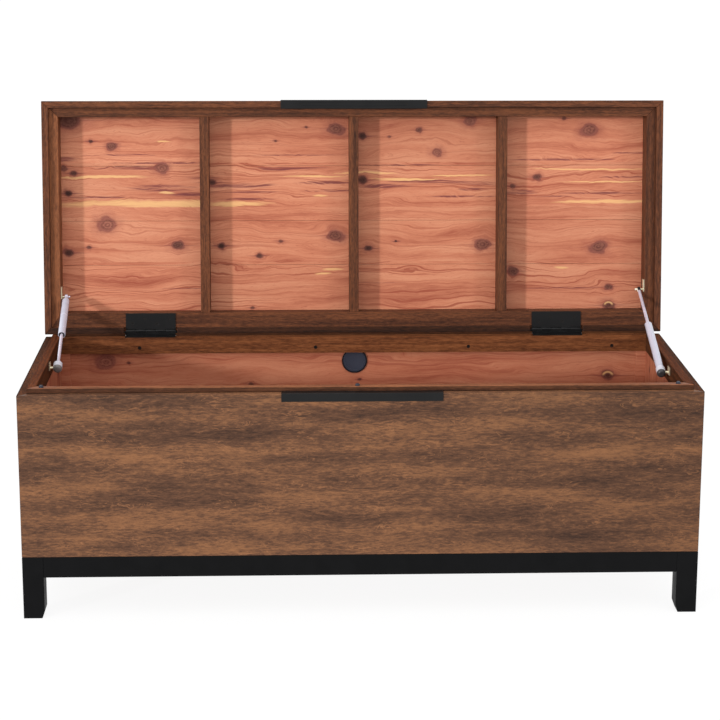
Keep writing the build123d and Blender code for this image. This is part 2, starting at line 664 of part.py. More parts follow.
def brackets():
    """Plates with a stud: in the case each stud carries a socket, in the lid it stops just
    short of the strut's eye."""
    with BuildPart() as case_pair:
        for hand, sign in HANDS.items():
            low = strut_motion(hand)[0]
            wall = Plane(origin=(sign * rail_inner[1], low.Y, low.Z), x_dir=(0, 1, 0),
                         z_dir=(-sign, 0, 0))
            with BuildSketch(wall):
                with Locations((0, -sign * (CASE_PLATE_ABOVE - PLATE_BELOW) / 2)):
                    Rectangle(PLATE_WIDTH, CASE_PLATE_ABOVE + PLATE_BELOW)
            extrude(amount=PLATE)
            with Locations(wall):
                Cylinder(STUD_RADIUS, rail_inner[1] - STRUT_CASE_X + STUD_RADIUS, align=BOTTOM)
    save(case_pair.part, "strut_case_brackets")
    with BuildPart() as lid_pair:
        for hand, sign in HANDS.items():
            reach = STRUT_LID_REACH[hand]
            x = sign * strip_inner[1]
            pad_y = -reach - (LID_PLATE_ABOVE - PLATE_BELOW) / 2
            place = Plane(origin=LID.from_local_coords((x, pad_y, STRUT_LID_DEPTH)),
                          x_dir=LID.y_dir, z_dir=(-sign, 0, 0))
            pin = Plane(origin=LID.from_local_coords((x, -reach, STRUT_LID_DEPTH)),
                        x_dir=LID.y_dir, z_dir=(-sign, 0, 0))
            with BuildSketch(place):
                Rectangle(LID_PLATE_ABOVE + PLATE_BELOW, PLATE_WIDTH)
            extrude(amount=PLATE)
            with Locations(pin):
                Cylinder(PIN_END_RADIUS, strip_inner[1] - STRUT_LID_X - EYE_THICK / 2 - PIVOT_GAP,
                         align=BOTTOM)
    save(lid_pair.part, "strut_lid_brackets")


carcass()
lip_rails()
cedar_linings()
grommet()
bumpers()
base()
lid_frame()
lid_inside()
pulls()
hinges()
for hand, tube_on_top in (("left", True), ("right", False)):
    gas_strut(hand, tube_on_top)
brackets()
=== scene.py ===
"""Looks for the cedar-lined storage chest: materials, edges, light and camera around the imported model."""

import json
import math

import bpy
from mathutils import Matrix, Vector


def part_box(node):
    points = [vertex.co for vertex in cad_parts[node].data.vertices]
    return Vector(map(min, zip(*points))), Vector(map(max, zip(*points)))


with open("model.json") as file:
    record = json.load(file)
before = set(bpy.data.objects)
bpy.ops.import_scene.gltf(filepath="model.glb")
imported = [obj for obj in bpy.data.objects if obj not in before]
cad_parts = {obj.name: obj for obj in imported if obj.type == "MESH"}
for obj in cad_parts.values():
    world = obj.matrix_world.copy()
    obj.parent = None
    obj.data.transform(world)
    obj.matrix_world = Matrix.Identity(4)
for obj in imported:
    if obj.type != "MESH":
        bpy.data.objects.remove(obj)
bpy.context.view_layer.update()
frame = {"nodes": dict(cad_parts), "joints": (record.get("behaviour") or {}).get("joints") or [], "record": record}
nodes = frame["nodes"]
slots = {row["node"]: row["material_slot"] for row in frame["record"]["subparts"]}
joints = {joint["name"]: joint for joint in frame["joints"]}

# ---- the lid's own directions: it stands open, turned back about the hinge line -----------------
HINGE = Vector(joints["lid_hinge"]["pos_m"])
OPEN = math.radians(joints["lid_hinge"]["range_deg"][1])
LID_UP = Vector((0, -math.cos(OPEN), math.sin(OPEN)))      # hinge to free edge
LID_DEEP = Vector((0, math.sin(OPEN), math.cos(OPEN)))     # inner face to top face


def colour(red, green, blue):
    """Linear colour from the usual 0 to 255 values."""
    linear = []
    for value in (red, green, blue):
        value /= 255
        linear.append(value / 12.92 if value <= 0.04045 else ((value + 0.055) / 1.055) ** 2.4)
    return (*linear, 1.0)


class Graph:
    """A material, with short names for the shader nodes it is wired from."""

    def __init__(self, name):
        self.material = bpy.data.materials.new(name)
        self.material.use_nodes = True
        self.tree = self.material.node_tree
        self.shader = self.tree.nodes["Principled BSDF"]

    def put(self, socket, value):
        if isinstance(value, bpy.types.NodeSocket):
            self.tree.links.new(value, socket)
        else:
            socket.default_value = value

    def node(self, kind, inputs=None, **settings):
        made = self.tree.nodes.new("ShaderNode" + kind)
        for key, value in settings.items():
            setattr(made, key, value)
        for socket, value in (inputs or {}).items():
            self.put(made.inputs[socket], value)
        return made

    def set(self, **values):
        for name, value in values.items():
            self.put(self.shader.inputs[name.replace("_", " ")], value)

    def math(self, operation, first, second=0.0, third=0.0, clamp=False):
        inputs = {0: first, 1: second, 2: third}
        return self.node("Math", inputs, operation=operation, use_clamp=clamp).outputs[0]

    def add(self, *values):
        total = values[0]
        for value in values[1:]:
            total = self.math("ADD", total, value)
        return total

    def times(self, first, second):
        return self.math("MULTIPLY", first, second)

    def squares(self, first, second):
        """The two squares added up."""
        return self.add(self.math("POWER", first, 2.0), self.math("POWER", second, 2.0))

    def away(self, value, middle):
        """How far the value is from the middle, either way."""
        return self.math("ABSOLUTE", self.add(value, -middle))

    def place(self):
        """Where the point is, in the chest's own frame."""
        return self.node("TexCoord").outputs["Object"]

    def scaled(self, vector, factor):
        return self.node("VectorMath", {0: vector, "Scale": factor}, operation="SCALE").outputs[0]

    def offset(self, vector, point):
        return self.node("VectorMath", {0: vector, 1: tuple(point)}, operation="SUBTRACT").outputs[0]

    def join(self, x, y, z):
        return self.node("CombineXYZ", {0: x, 1: y, 2: z}).outputs[0]

    def dot(self, vector, direction):
        return self.node("VectorMath", {0: vector, 1: direction}, operation="DOT_PRODUCT").outputs["Value"]

    def noise(self, vector, detail=2.0, roughness=0.5, distortion=0.0):
        inputs = {"Vector": vector, "Scale": 1.0, "Detail": detail, "Roughness": roughness,
                  "Distortion": distortion}
        return self.node("TexNoise", inputs).outputs["Fac"]

    def random(self, value):
        return self.node("TexWhiteNoise", {"W": value}, noise_dimensions="1D").outputs["Value"]

    def fade(self, value, start, end, low=0.0, high=1.0):
        """low before start, high after end and a smooth step between them."""
        inputs = {"Value": value, "From Min": start, "From Max": end, "To Min": low, "To Max": high}
        return self.node("MapRange", inputs, interpolation_type="SMOOTHSTEP").outputs[0]

    def mix(self, factor, first, second, blend="MIX"):
        made = self.node("Mix", data_type="RGBA", blend_type=blend)
        self.put(made.inputs["Factor"], factor)
        self.put(made.inputs[6], first)
        self.put(made.inputs[7], second)
        return made.outputs[2]

    def ramp(self, value, *stops):
        made = self.node("ValToRGB", {0: value})
        elements = made.color_ramp.elements
        while len(elements) < len(stops):
            elements.new(1.0)
        for element, (position, tone) in zip(elements, stops):
            element.position = position
            element.color = tone
        return made.outputs["Color"]

    def bump(self, height, distance, strength=1.0, under=None):
        inputs = {"Height": height, "Distance": distance, "Strength": strength}
        if under is not None:
            inputs["Normal"] = under
        return self.node("Bump", inputs).outputs["Normal"]


# ---- wood -----------------------------------------------------------------------------------
def board(graph, grain):
    """Distances along the grain, across it and into the board, for boards lying that way."""
    place = graph.place()
    if grain.startswith("lid"):
        from_hinge = graph.offset(place, HINGE)
        x = graph.dot(from_hinge, (1, 0, 0))
        up = graph.dot(from_hinge, tuple(LID_UP))
        deep = graph.dot(from_hinge, tuple(LID_DEEP))
        return (x, up, deep) if grain == "lid_long" else (up, x, deep)
    parts = graph.node("SeparateXYZ", {0: place}).outputs
    x, y, z = parts[0], parts[1], parts[2]
    return {"long": (x, z, y), "deep": (y, z, x), "upright_side": (z, y, x), "flat": (x, y, z)}[grain]


def features(graph, space, length, width, seed=0.0, detail=2.0, roughness=0.5, distortion=0.0):
    """Noise whose blotches are about length long with the grain and width across it, in metres."""
    along, across, into = space
    vector = graph.join(graph.math("MULTIPLY_ADD", along, 1 / length, seed),
                        graph.math("MULTIPLY_ADD", across, 1 / width, seed * 1.7),
                        graph.times(into, 1 / width))
    return graph.noise(vector, detail, roughness, distortion)


# How walnut is figured. Sizes are (length with the grain, width across it) in metres, weights are for
# the bands, clouds and fibre, bend is how far the grain wanders, and curls is the golden lines' strength.
PLAIN_FIGURE = {"bend": 0.003, "bands": (0.60, 0.009), "clouds": (0.10, 0.006), "fibre": (0.014, 0.0022),
                "weights": (0.26, 0.26, 0.48), "curls": 0.20}
FULL_FIGURE = {"bend": 0.020, "bands": (0.27, 0.034), "clouds": (0.050, 0.0075), "fibre": (0.012, 0.0023),
               "weights": (0.33, 0.18, 0.49), "curls": 0.50}
GOLDEN = 1.25                # the golden lines, against the light tone
FLECK = 0.32                 # how dark the pores are


def walnut(name, grain, tones, seed=0.0, straight=False, tints=(), gloss=0.42, specular=0.14):
    """Stained walnut: soft bands, clouds, fine fibres, curly golden lines and short dark pores.
    straight is for narrow boards with plain grain. Each of tints is (direction, start, end, before,
    after): what the colour is multiplied by before and after those distances in that direction; mostly
    painted highlight or painted shade on a face, and also dark stained edges and a darkening to one side."""
    graph = Graph(name)
    figure = PLAIN_FIGURE if straight else FULL_FIGURE
    along, across, into = board(graph, grain)
    wander = features(graph, (along, across, into), 0.16, 0.045, seed=seed + 1, detail=2)
    space = (along, graph.math("MULTIPLY_ADD", wander, figure["bend"], across), into)
    bands = features(graph, space, *figure["bands"], seed=seed, detail=1)
    clouds = features(graph, space, *figure["clouds"], seed=seed + 3, detail=3, roughness=0.62,
                      distortion=0.3)
    fibre = features(graph, space, *figure["fibre"], seed=seed + 5, detail=4, roughness=0.72)
    pores = features(graph, space, 0.010, 0.0013, seed=seed + 9, detail=2, roughness=0.7)
    layers = zip((bands, clouds, fibre), figure["weights"])
    shade = graph.add(*(graph.times(layer, weight) for layer, weight in layers))
    dark, middle, light = tones
    tone = graph.ramp(graph.fade(shade, 0.32, 0.68), (0.0, dark), (0.50, middle), (1.0, light))
    fleck = graph.fade(pores, 0.58, 0.70)
    tone = graph.mix(graph.times(fleck, FLECK), tone, dark)
    curls = features(graph, space, 0.036, 0.0085, seed=seed + 13, detail=2, distortion=1.0)
    figured = features(graph, space, 0.075, 0.026, seed=seed + 17, detail=2)
    line = graph.fade(graph.away(curls, 0.5), 0.026, 0.004)
    amount = graph.times(line, graph.fade(figured, 0.50, 0.62, 0.05, figure["curls"]))
    tone = graph.mix(amount, tone, tuple(part * GOLDEN for part in light[:3]) + (1.0,))
    place = graph.place()
    for direction, start, end, before, after in tints:
        beyond = graph.fade(graph.dot(place, tuple(direction)), start, end)
        tone = graph.mix(1.0, tone, graph.mix(beyond, before, after), "MULTIPLY")
    skin = graph.add(graph.times(fibre, 0.5), graph.times(fleck, -0.6))
    graph.set(Base_Color=tone, Roughness=graph.fade(fibre, 0.3, 0.7, gloss, gloss + 0.14),
              Normal=graph.bump(skin, 0.0002, 0.5), Specular_IOR_Level=specular)
    return graph.material


KNOT_HEIGHT = 0.74           # a knot's height against its length along the grain


def knot_group():
    """One knot in its own oval space: how far it bends the grain, how many radii away a point is,
    how dark its heart is there, and the thin dark line that runs off with the grain."""
    tree = bpy.data.node_groups.new("knot", "ShaderNodeTree")
    for name in ("Along", "Across", "X", "V", "Radius", "Dark"):
        tree.interface.new_socket(name, in_out="INPUT", socket_type="NodeSocketFloat")
    for name in ("Push", "Distance", "Shade", "Tail"):
        tree.interface.new_socket(name, in_out="OUTPUT", socket_type="NodeSocketFloat")
    graph = Graph.__new__(Graph)
    graph.tree = tree
    given = tree.nodes.new("NodeGroupInput").outputs
    result = tree.nodes.new("NodeGroupOutput")
    side = graph.math("SUBTRACT", given["Across"], given["V"])
    first = graph.math("DIVIDE", graph.math("SUBTRACT", given["Along"], given["X"]), given["Radius"])
    second = graph.math("DIVIDE", side, graph.times(given["Radius"], KNOT_HEIGHT))
    drift = graph.times(given["X"], 60.0)
    wander = graph.noise(graph.join(graph.add(graph.times(first, 0.7), drift),
                                    graph.times(second, 0.7), drift), 1.0, 0.5)
    distance = graph.math("SQRT", graph.squares(first, second))
    distance = graph.times(distance, graph.fade(wander, 0.25, 0.75, 0.80, 1.25))
    push = graph.math("DIVIDE", side, graph.add(graph.math("POWER", distance, 2.0), 0.7))
    shade = graph.times(graph.fade(distance, 1.15, 0.35), given["Dark"])
    line = graph.math("ABSOLUTE", graph.math("MULTIPLY_ADD", wander, 0.0020, graph.add(side, -0.0010)))
    tail = graph.times(graph.fade(line, 0.0018, 0.0003),
                       graph.fade(graph.math("ABSOLUTE", first), 4.6, 0.8, 0.0, given["Dark"]))
    for name, value in (("Push", push), ("Distance", distance), ("Shade", shade), ("Tail", tail)):
        graph.put(result.inputs[name], value)
    return tree


KNOT = knot_group()

CEDAR_LIGHT = colour(202, 136, 105)
CEDAR = colour(190, 119, 90)
CEDAR_LINE = colour(150, 76, 56)
CEDAR_PURPLE = colour(112, 54, 54)
CEDAR_HALO = colour(150, 84, 68)
CEDAR_KNOT = colour(108, 58, 49)
CEDAR_KNOT_PALE = colour(152, 94, 77)
CEDAR_KNOT_DARK = colour(44, 22, 20)
CEDAR_PALE = colour(224, 176, 120)


def by_plank(graph, across, seams, values):
    """One value for each plank, changing at the seams."""
    result = values[0]
    for seam, before, after in zip(seams, values, values[1:]):
        result = graph.math("MULTIPLY_ADD", graph.math("GREATER_THAN", across, seam), after - before, result)
    return result


def plank_holding(seams, v):
    """The low and high edge of the plank that v is on."""
    edges = (-1.0, *seams, 1.0)
    return max(edge for edge in edges if edge <= v), min(edge for edge in edges if edge > v)


def lens_shape(graph, along, across, place, ragged):
    """1 in the middle of a long lens of (x, v, half length, half height), fading out raggedly."""
    x, v, half_length, half_height = place
    first = graph.math("DIVIDE", graph.add(along, -x), half_length)
    second = graph.math("DIVIDE", graph.add(across, -v), half_height)
    return graph.fade(graph.add(graph.squares(first, second), ragged), 1.60, 0.10)


FAR = 9.0                    # radii away from every knot


def all_knots(graph, along, across, knots):
    """For the knots together: how far they bend the grain, how many radii away the nearest is, how
    dark the hearts are, and the lines that run off from them."""
    bend, nearest, shade, tail = 0.0, FAR, 0.0, 0.0
    for x, v, radius, dark in knots:
        inputs = {"Along": along, "Across": across, "X": x, "V": v, "Radius": radius, "Dark": dark}
        knot = graph.node("Group", inputs, node_tree=KNOT)
        bend = graph.add(bend, knot.outputs["Push"])
        nearest = graph.math("MINIMUM", nearest, knot.outputs["Distance"])
        shade = graph.math("MAXIMUM", shade, knot.outputs["Shade"])
        tail = graph.math("MAXIMUM", tail, knot.outputs["Tail"])
    return bend, nearest, shade, tail


def knot_colours(graph, tone, speckle, nearest, shade, tail):
    """Halo, tail, ringed heart, rim and dark middle, laid over the wood in that order."""
    halo = graph.times(graph.fade(nearest, 2.3, 0.9), graph.fade(speckle, 0.35, 0.65, 0.35, 0.62))
    tone = graph.mix(halo, tone, CEDAR_HALO)
    tone = graph.mix(graph.times(tail, 0.85), tone, CEDAR_PURPLE)
    ring = graph.math("SINE", graph.add(graph.times(nearest, 15.0), graph.times(speckle, 9.0)))
    heart = graph.mix(graph.fade(graph.math("MULTIPLY_ADD", ring, 0.16, speckle), 0.25, 0.75),
                      CEDAR_KNOT_PALE, CEDAR_KNOT)
    tone = graph.mix(graph.times(graph.fade(nearest, 1.28, 0.62), 0.90), tone, heart)
    rim = graph.fade(graph.away(nearest, 0.88), 0.24, 0.0)
    tone = graph.mix(graph.times(rim, 0.45), tone, CEDAR_PURPLE)
    return graph.mix(shade, tone, CEDAR_KNOT_DARK)


WARP = 0.045                 # how far the cedar's grain wanders
PLANK_SHIFT = 7.0            # how far apart in the figure two planks can be cut
PLANK_TONE = (0.93, 0.12)    # the darkest plank's tone, and how much lighter the lightest can be
CRESCENT_HEIGHT = 0.8        # a crescent's height against its length along the grain


def cedar(name, grain, seams=(), knots=(), pale=(), purple=(), lines=(0.5,) * 4, seed=0.0, tint=(1, 1, 1),
          crescents=()):
    """Aromatic cedar. seams are plank joints and lines is how marked each plank's grain is.
    knots are (x, v, radius, darkness); pale and purple are streaks of sapwood and of dark heart
    as (x, v, half length, half height). crescents are pale bark rims, as (x, v, radius), over the
    top of a knot. All are in metres in the board's space. tint is multiplied into the colour; on
    the linings it is painted shade."""
    graph = Graph(name)
    along, across, into = board(graph, grain)
    plank = seed
    for seam in seams:
        plank = graph.add(plank, graph.math("GREATER_THAN", across, seam))
    own = graph.random(plank)
    shift = graph.times(own, PLANK_SHIFT)
    bend, nearest, shade, tail = all_knots(graph, along, across, knots)
    warp = features(graph, (along, across, shift), 0.15, 0.050, seed=seed, detail=2)
    bent = graph.math("SUBTRACT", across, bend)
    flowing = (along, graph.add(bent, graph.times(warp, WARP)), shift)
    rings = features(graph, flowing, 0.50, 0.0034, seed=seed + 1, detail=2, roughness=0.55)
    fine = features(graph, flowing, 0.035, 0.0016, seed=seed + 2, detail=3, roughness=0.7)
    broad = features(graph, flowing, 0.30, 0.022, seed=seed + 4, detail=2)
    tone = graph.ramp(graph.add(graph.times(broad, 0.62), graph.times(fine, 0.38)),
                      (0.28, CEDAR_LINE), (0.47, CEDAR), (0.61, CEDAR_LIGHT))
    marked = by_plank(graph, across, seams, lines)
    tone = graph.mix(graph.times(graph.fade(rings, 0.56, 0.64), marked), tone, CEDAR_LINE)
    specks = features(graph, flowing, 0.012, 0.0014, seed=seed + 11, detail=2, roughness=0.7)
    tone = graph.mix(graph.fade(specks, 0.56, 0.74, 0.0, 0.45), tone, CEDAR_LINE)
    strands = features(graph, flowing, 0.080, 0.0026, seed=seed + 6, detail=3, roughness=0.65)
    threads = graph.fade(strands, 0.40, 0.60, 0.25, 1.0)
    for streak in purple:
        inside = lens_shape(graph, along, across, streak, graph.math("MULTIPLY_ADD", strands, -3.0, 1.5))
        tone = graph.mix(graph.times(graph.times(inside, threads), 0.90), tone, CEDAR_PURPLE)
    ragged = graph.math("MULTIPLY_ADD", strands, 3.0, -1.5)
    for streak in pale:
        inside = lens_shape(graph, along, bent, streak, ragged)
        low, high = plank_holding(seams, streak[1])
        same = graph.times(graph.math("GREATER_THAN", across, low), graph.math("LESS_THAN", across, high))
        tone = graph.mix(graph.times(graph.times(inside, same), 0.84), tone, CEDAR_PALE)
    if knots:
        speckle = features(graph, (along, across, into), 0.0060, 0.0038, seed=seed + 8, detail=3,
                           roughness=0.7)
        tone = knot_colours(graph, tone, speckle, nearest, shade, tail)
    for x, v, radius in crescents:
        first = graph.math("DIVIDE", graph.add(along, -x), radius)
        second = graph.math("DIVIDE", graph.add(across, -v), radius * CRESCENT_HEIGHT)
        rim = graph.fade(graph.away(graph.math("SQRT", graph.squares(first, second)), 0.75), 0.30, 0.05)
        tone = graph.mix(graph.times(rim, graph.fade(second, -0.15, 0.45, 0.0, 0.8)), tone, CEDAR_PALE)
    darkest, spread = PLANK_TONE
    own_tone = graph.math("MULTIPLY_ADD", own, spread, darkest)
    tone = graph.mix(1.0, tone, graph.join(*(graph.times(own_tone, part) for part in tint)), "MULTIPLY")
    height = graph.add(graph.times(fine, 0.6), graph.times(rings, -0.4))
    graph.set(Base_Color=tone, Roughness=graph.fade(rings, 0.3, 0.7, 0.50, 0.66),
              Normal=graph.bump(height, 0.00025, 0.4), Specular_IOR_Level=0.20)
    return graph.material


# ---- metal, plastic and paint -----------------------------------------------------------------
BLOTCHES = 30.0              # blotches in a metre of a coated surface
STRUT_SKIN = 900.0           # grains in a metre of the struts' plastic


def coated(name, tone, roughness, grain_size=0.0008, texture=0.00004, metallic=0.0, specular=0.5,
           mottle=0.82):
    """Paint, plastic or plated metal: slight mottling and a fine skin in the surface."""
    graph = Graph(name)
    place = graph.place()
    skin = graph.noise(graph.scaled(place, 1 / grain_size), 2.0)
    blotch = graph.noise(graph.scaled(place, BLOTCHES), 3.0)
    darker = tuple(c * mottle for c in tone[:3]) + (1.0,)
    graph.set(Base_Color=graph.ramp(blotch, (0.35, darker), (0.65, tone)), Metallic=metallic,
              Roughness=graph.fade(blotch, 0.3, 0.7, roughness - 0.05, roughness + 0.07),
              Normal=graph.bump(skin, texture, 0.5), Specular_IOR_Level=specular)
    return graph.material


CAP_START, CAP_END = -0.0022, -0.0010     # where a strut end turns pale, along the strut from its pivot


def end_fitting(name, pivot, axis, upper, lower):
    """Strut end: pale above the ball joint, and a darker domed cap below it."""
    graph = Graph(name)
    place = graph.place()
    height = graph.dot(graph.offset(place, pivot), tuple(axis))
    skin = graph.noise(graph.scaled(place, STRUT_SKIN))
    graph.set(Base_Color=graph.mix(graph.fade(height, CAP_START, CAP_END), lower, upper),
              Roughness=graph.fade(skin, 0.3, 0.7, 0.30, 0.40), Specular_IOR_Level=0.4)
    return graph.material


# ---- which material each node gets ---------------------------------------------------------------
# LID_SEAMS, the places in LID_KNOTS and seven rows of LID_PALE were picked by eye and turned into
# distances on the board by a helper program, rounded to 1 mm.
LID_SEAMS = (0.133, 0.242, 0.330)
LID_KNOTS = (
    (-0.519, 0.373, 0.005, 0.8), (-0.478, 0.363, 0.011, 0.4), (-0.380, 0.319, 0.014, 0.1),
    (-0.562, 0.414, 0.026, 0.5), (-0.554, 0.310, 0.007, 0.7), (-0.573, 0.319, 0.008, 0.3),
    (-0.565, 0.270, 0.009, 0.9), (-0.489, 0.207, 0.020, 0.0), (-0.350, 0.166, 0.013, 0.6),
    (-0.566, 0.152, 0.011, 0.8), (-0.525, 0.163, 0.005, 0.6),
    (-0.263, 0.165, 0.009, 0.9), (-0.187, 0.145, 0.007, 0.7), (-0.145, 0.174, 0.005, 0.5),
    (-0.034, 0.397, 0.016, 0.3), (-0.035, 0.185, 0.016, 0.4), (-0.093, 0.400, 0.003, 0.6),
    (-0.154, 0.373, 0.003, 0.6), (-0.202, 0.041, 0.004, 0.5), (-0.280, 0.291, 0.010, 0.7),
    (0.018, 0.382, 0.009, 0.8), (0.131, 0.394, 0.007, 0.4), (0.232, 0.412, 0.014, 0.2),
    (0.167, 0.350, 0.011, 0.1), (0.018, 0.295, 0.011, 0.8), (0.030, 0.159, 0.008, 0.8),
    (0.259, 0.166, 0.015, 0.3), (0.072, 0.381, 0.003, 0.3), (0.085, 0.173, 0.003, 0.9),
    (0.470, 0.394, 0.017, 0.2), (0.367, 0.300, 0.009, 0.6), (0.318, 0.282, 0.006, 0.5),
    (0.491, 0.160, 0.017, 0.3), (0.320, 0.112, 0.012, 0.5), (0.512, 0.080, 0.009, 0.5),
    (0.513, 0.043, 0.013, 0.6), (0.420, 0.417, 0.005, 0.4),
)
LID_PALE = (
    (-0.330, 0.2500, 0.260, 0.0075), (-0.500, 0.304, 0.090, 0.0030), (-0.371, 0.272, 0.014, 0.0025),
    (-0.375, 0.369, 0.013, 0.0014), (-0.228, 0.249, 0.060, 0.0050), (-0.070, 0.303, 0.060, 0.0018),
    (-0.065, 0.264, 0.014, 0.0024), (-0.041, 0.121, 0.020, 0.0026), (-0.060, 0.112, 0.016, 0.0022),
    (0.020, 0.309, 0.060, 0.0020), (0.100, 0.297, 0.070, 0.0026), (0.220, 0.305, 0.060, 0.0018),
    (0.470, 0.315, 0.120, 0.0017), (0.500, 0.290, 0.080, 0.0014), (0.500, 0.250, 0.090, 0.0036),
    (0.417, 0.120, 0.013, 0.0020),
)
LID_PURPLE = (
    (-0.375, 0.280, 0.060, 0.0065), (-0.440, 0.320, 0.060, 0.0040), (-0.575, 0.338, 0.030, 0.0050),
    (-0.330, 0.268, 0.050, 0.0040), (-0.300, 0.300, 0.030, 0.0030), (-0.230, 0.285, 0.070, 0.0060),
    (-0.215, 0.258, 0.060, 0.0025), (-0.130, 0.318, 0.070, 0.0040), (-0.060, 0.290, 0.050, 0.0030),
    (0.060, 0.283, 0.050, 0.0040), (0.150, 0.292, 0.070, 0.0030), (0.250, 0.288, 0.060, 0.0045),
    (0.240, 0.276, 0.030, 0.0030), (0.325, 0.270, 0.040, 0.0040), (0.560, 0.348, 0.050, 0.0014),
    (-0.330, 0.080, 0.050, 0.0012), (0.040, 0.090, 0.060, 0.0012), (0.420, 0.078, 0.070, 0.0015),
    (-0.450, 0.346, 0.080, 0.0022), (-0.380, 0.330, 0.100, 0.0016), (-0.520, 0.262, 0.070, 0.0018),
    (-0.100, 0.345, 0.100, 0.0015), (-0.220, 0.272, 0.080, 0.0016), (-0.050, 0.274, 0.050, 0.0022),
    (0.100, 0.325, 0.100, 0.0018), (0.200, 0.262, 0.080, 0.0018), (0.420, 0.335, 0.100, 0.0020),
    (0.500, 0.268, 0.080, 0.0022), (0.380, 0.262, 0.050, 0.0016), (0.540, 0.300, 0.050, 0.0020),
)
LID_LINES = (0.85, 0.42, 0.80, 0.45)
LID_CRESCENTS = ((0.513, 0.043, 0.010),)
BACK_CRESCENTS = ((0.505, 0.335, 0.012),)
BACK_KNOTS = ((0.505, 0.335, 0.014, 0.6), (-0.205, 0.322, 0.005, 0.5), (-0.490, 0.368, 0.022, 0.0),
              (-0.445, 0.366, 0.004, 0.5), (0.010, 0.330, 0.004, 0.5))

FLOOR_KNOTS = ((-0.410, -0.190, 0.012, 0.5), (-0.220, -0.090, 0.009, 0.8), (0.050, -0.175, 0.014, 0.2),
               (0.310, -0.020, 0.010, 0.7), (0.470, -0.210, 0.008, 0.8), (-0.330, 0.080, 0.013, 0.3),
               (0.160, 0.090, 0.009, 0.9), (-0.020, 0.005, 0.006, 0.8))
SIDE_KNOTS = ((0.330, -0.120, 0.010, 0.5), (0.240, 0.055, 0.012, 0.3), (0.360, 0.100, 0.006, 0.8))


def even_seams(node, planks=4):
    """The joints between equal planks that lie side by side from the front to the back."""
    low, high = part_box(node)
    return tuple(low.y + (high.y - low.y) * number / planks for number in range(1, planks))


PANEL_MARGIN = 0.03          # a knot or streak this far past a panel's end still shows on it


def within(rows, node):
    """The knots or streaks that lie on a cedar panel of the lid, or just past its ends."""
    low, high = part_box(node)
    return tuple(row for row in rows if low.x - PANEL_MARGIN < row[0] < high.x + PANEL_MARGIN)


WALNUT_OUTSIDE = (colour(52, 35, 27), colour(89, 60, 43), colour(130, 88, 58))
WALNUT_LID = (colour(42, 22, 14), colour(83, 47, 29), colour(116, 68, 41))
# Lighter tones for the lid's left strip: painted light, lifting the shadow the frame casts on it.
WALNUT_STRIP_LIT = (colour(62, 34, 21), colour(118, 70, 43), colour(148, 91, 57))
WALNUT_LIP = (colour(44, 25, 16), colour(74, 44, 28), colour(98, 60, 38))
WALNUT_RAIL = (colour(62, 32, 17), colour(102, 58, 32), colour(132, 80, 46))
CASE_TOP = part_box("case_front_panel")[1].z
CASE_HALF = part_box("case_right_panel")[1].x
LIP_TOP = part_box("lip_rail_front")[1].z
BACK_RAIL_DROP = 0.0053
BACK_RAIL_TOP = LIP_TOP - BACK_RAIL_DROP
RIM_FROM_HINGE = 0.0073
LID_RIM = HINGE.dot(LID_DEEP) - RIM_FROM_HINGE    # the plane of the lid frame's lower edges
UP = (0, 0, 1)
RIGHT = (1, 0, 0)
TOP_START, TOP_END = 0.0008, 0.0003               # a top face's painted highlight and shade fade in over this much below it
CORNER_START, CORNER_END = 0.0019, 0.0013

# What the walnut is multiplied by: painted shade on the side panels' top faces, painted highlight on the side
# lips' top faces.
SIDE_LEDGE_SHADE = (0.80, 0.66, 0.62, 1.0)
LIP_TOP_HIGHLIGHT = (1.5, 1.25, 1.15, 1.0)


def grey(level):
    return (level, level, level, 1.0)


PLAIN = grey(1.0)


def top_face_painted_light(height, tone):
    """A board's top face, with a painted highlight or painted shade that its sides don't get."""
    return UP, height - TOP_START, height - TOP_END, PLAIN, tone


def outer_corner(side):
    """The dark line along a side panel's outer top corner."""
    direction = Vector((side, 0, 1)).normalized()
    corner = direction.dot(Vector((side * CASE_HALF, 0, CASE_TOP)))
    return direction, corner - CORNER_START, corner - CORNER_END, PLAIN, grey(0.35)


# Painted highlight on the front panel's top face; the panel is also made darker towards the right.
FRONT_TINTS = (top_face_painted_light(CASE_TOP, grey(1.4)),
               (RIGHT, -0.05, CASE_HALF, grey(1.02), grey(0.86)))          # darker towards the right
# Painted shade on the side panels' top faces, and a dark stained line along their outer corners.
SIDE_TINTS = (top_face_painted_light(CASE_TOP, SIDE_LEDGE_SHADE), outer_corner(-1), outer_corner(1))
HEEL_GAP_SHADE = ((LID_DEEP, LID_RIM + 0.0005, LID_RIM + 0.0012, grey(0.33), PLAIN),)    # painted shade on the rim face, in the hinge gap
RAIL_STOP_SHADE = ((UP, BACK_RAIL_TOP + 0.0002, BACK_RAIL_TOP + 0.0006, PLAIN, grey(0.34)),)    # painted shade on the stop above the rail's top
# Painted highlight on the front lip's top face, and painted shade along its foot.
LIP_LIGHT_AND_SHADE = (top_face_painted_light(LIP_TOP, grey(3.0)),
             (UP, CASE_TOP + 0.0004, CASE_TOP + 0.0018, grey(0.30), PLAIN))          # painted shade at its foot, over the ledge
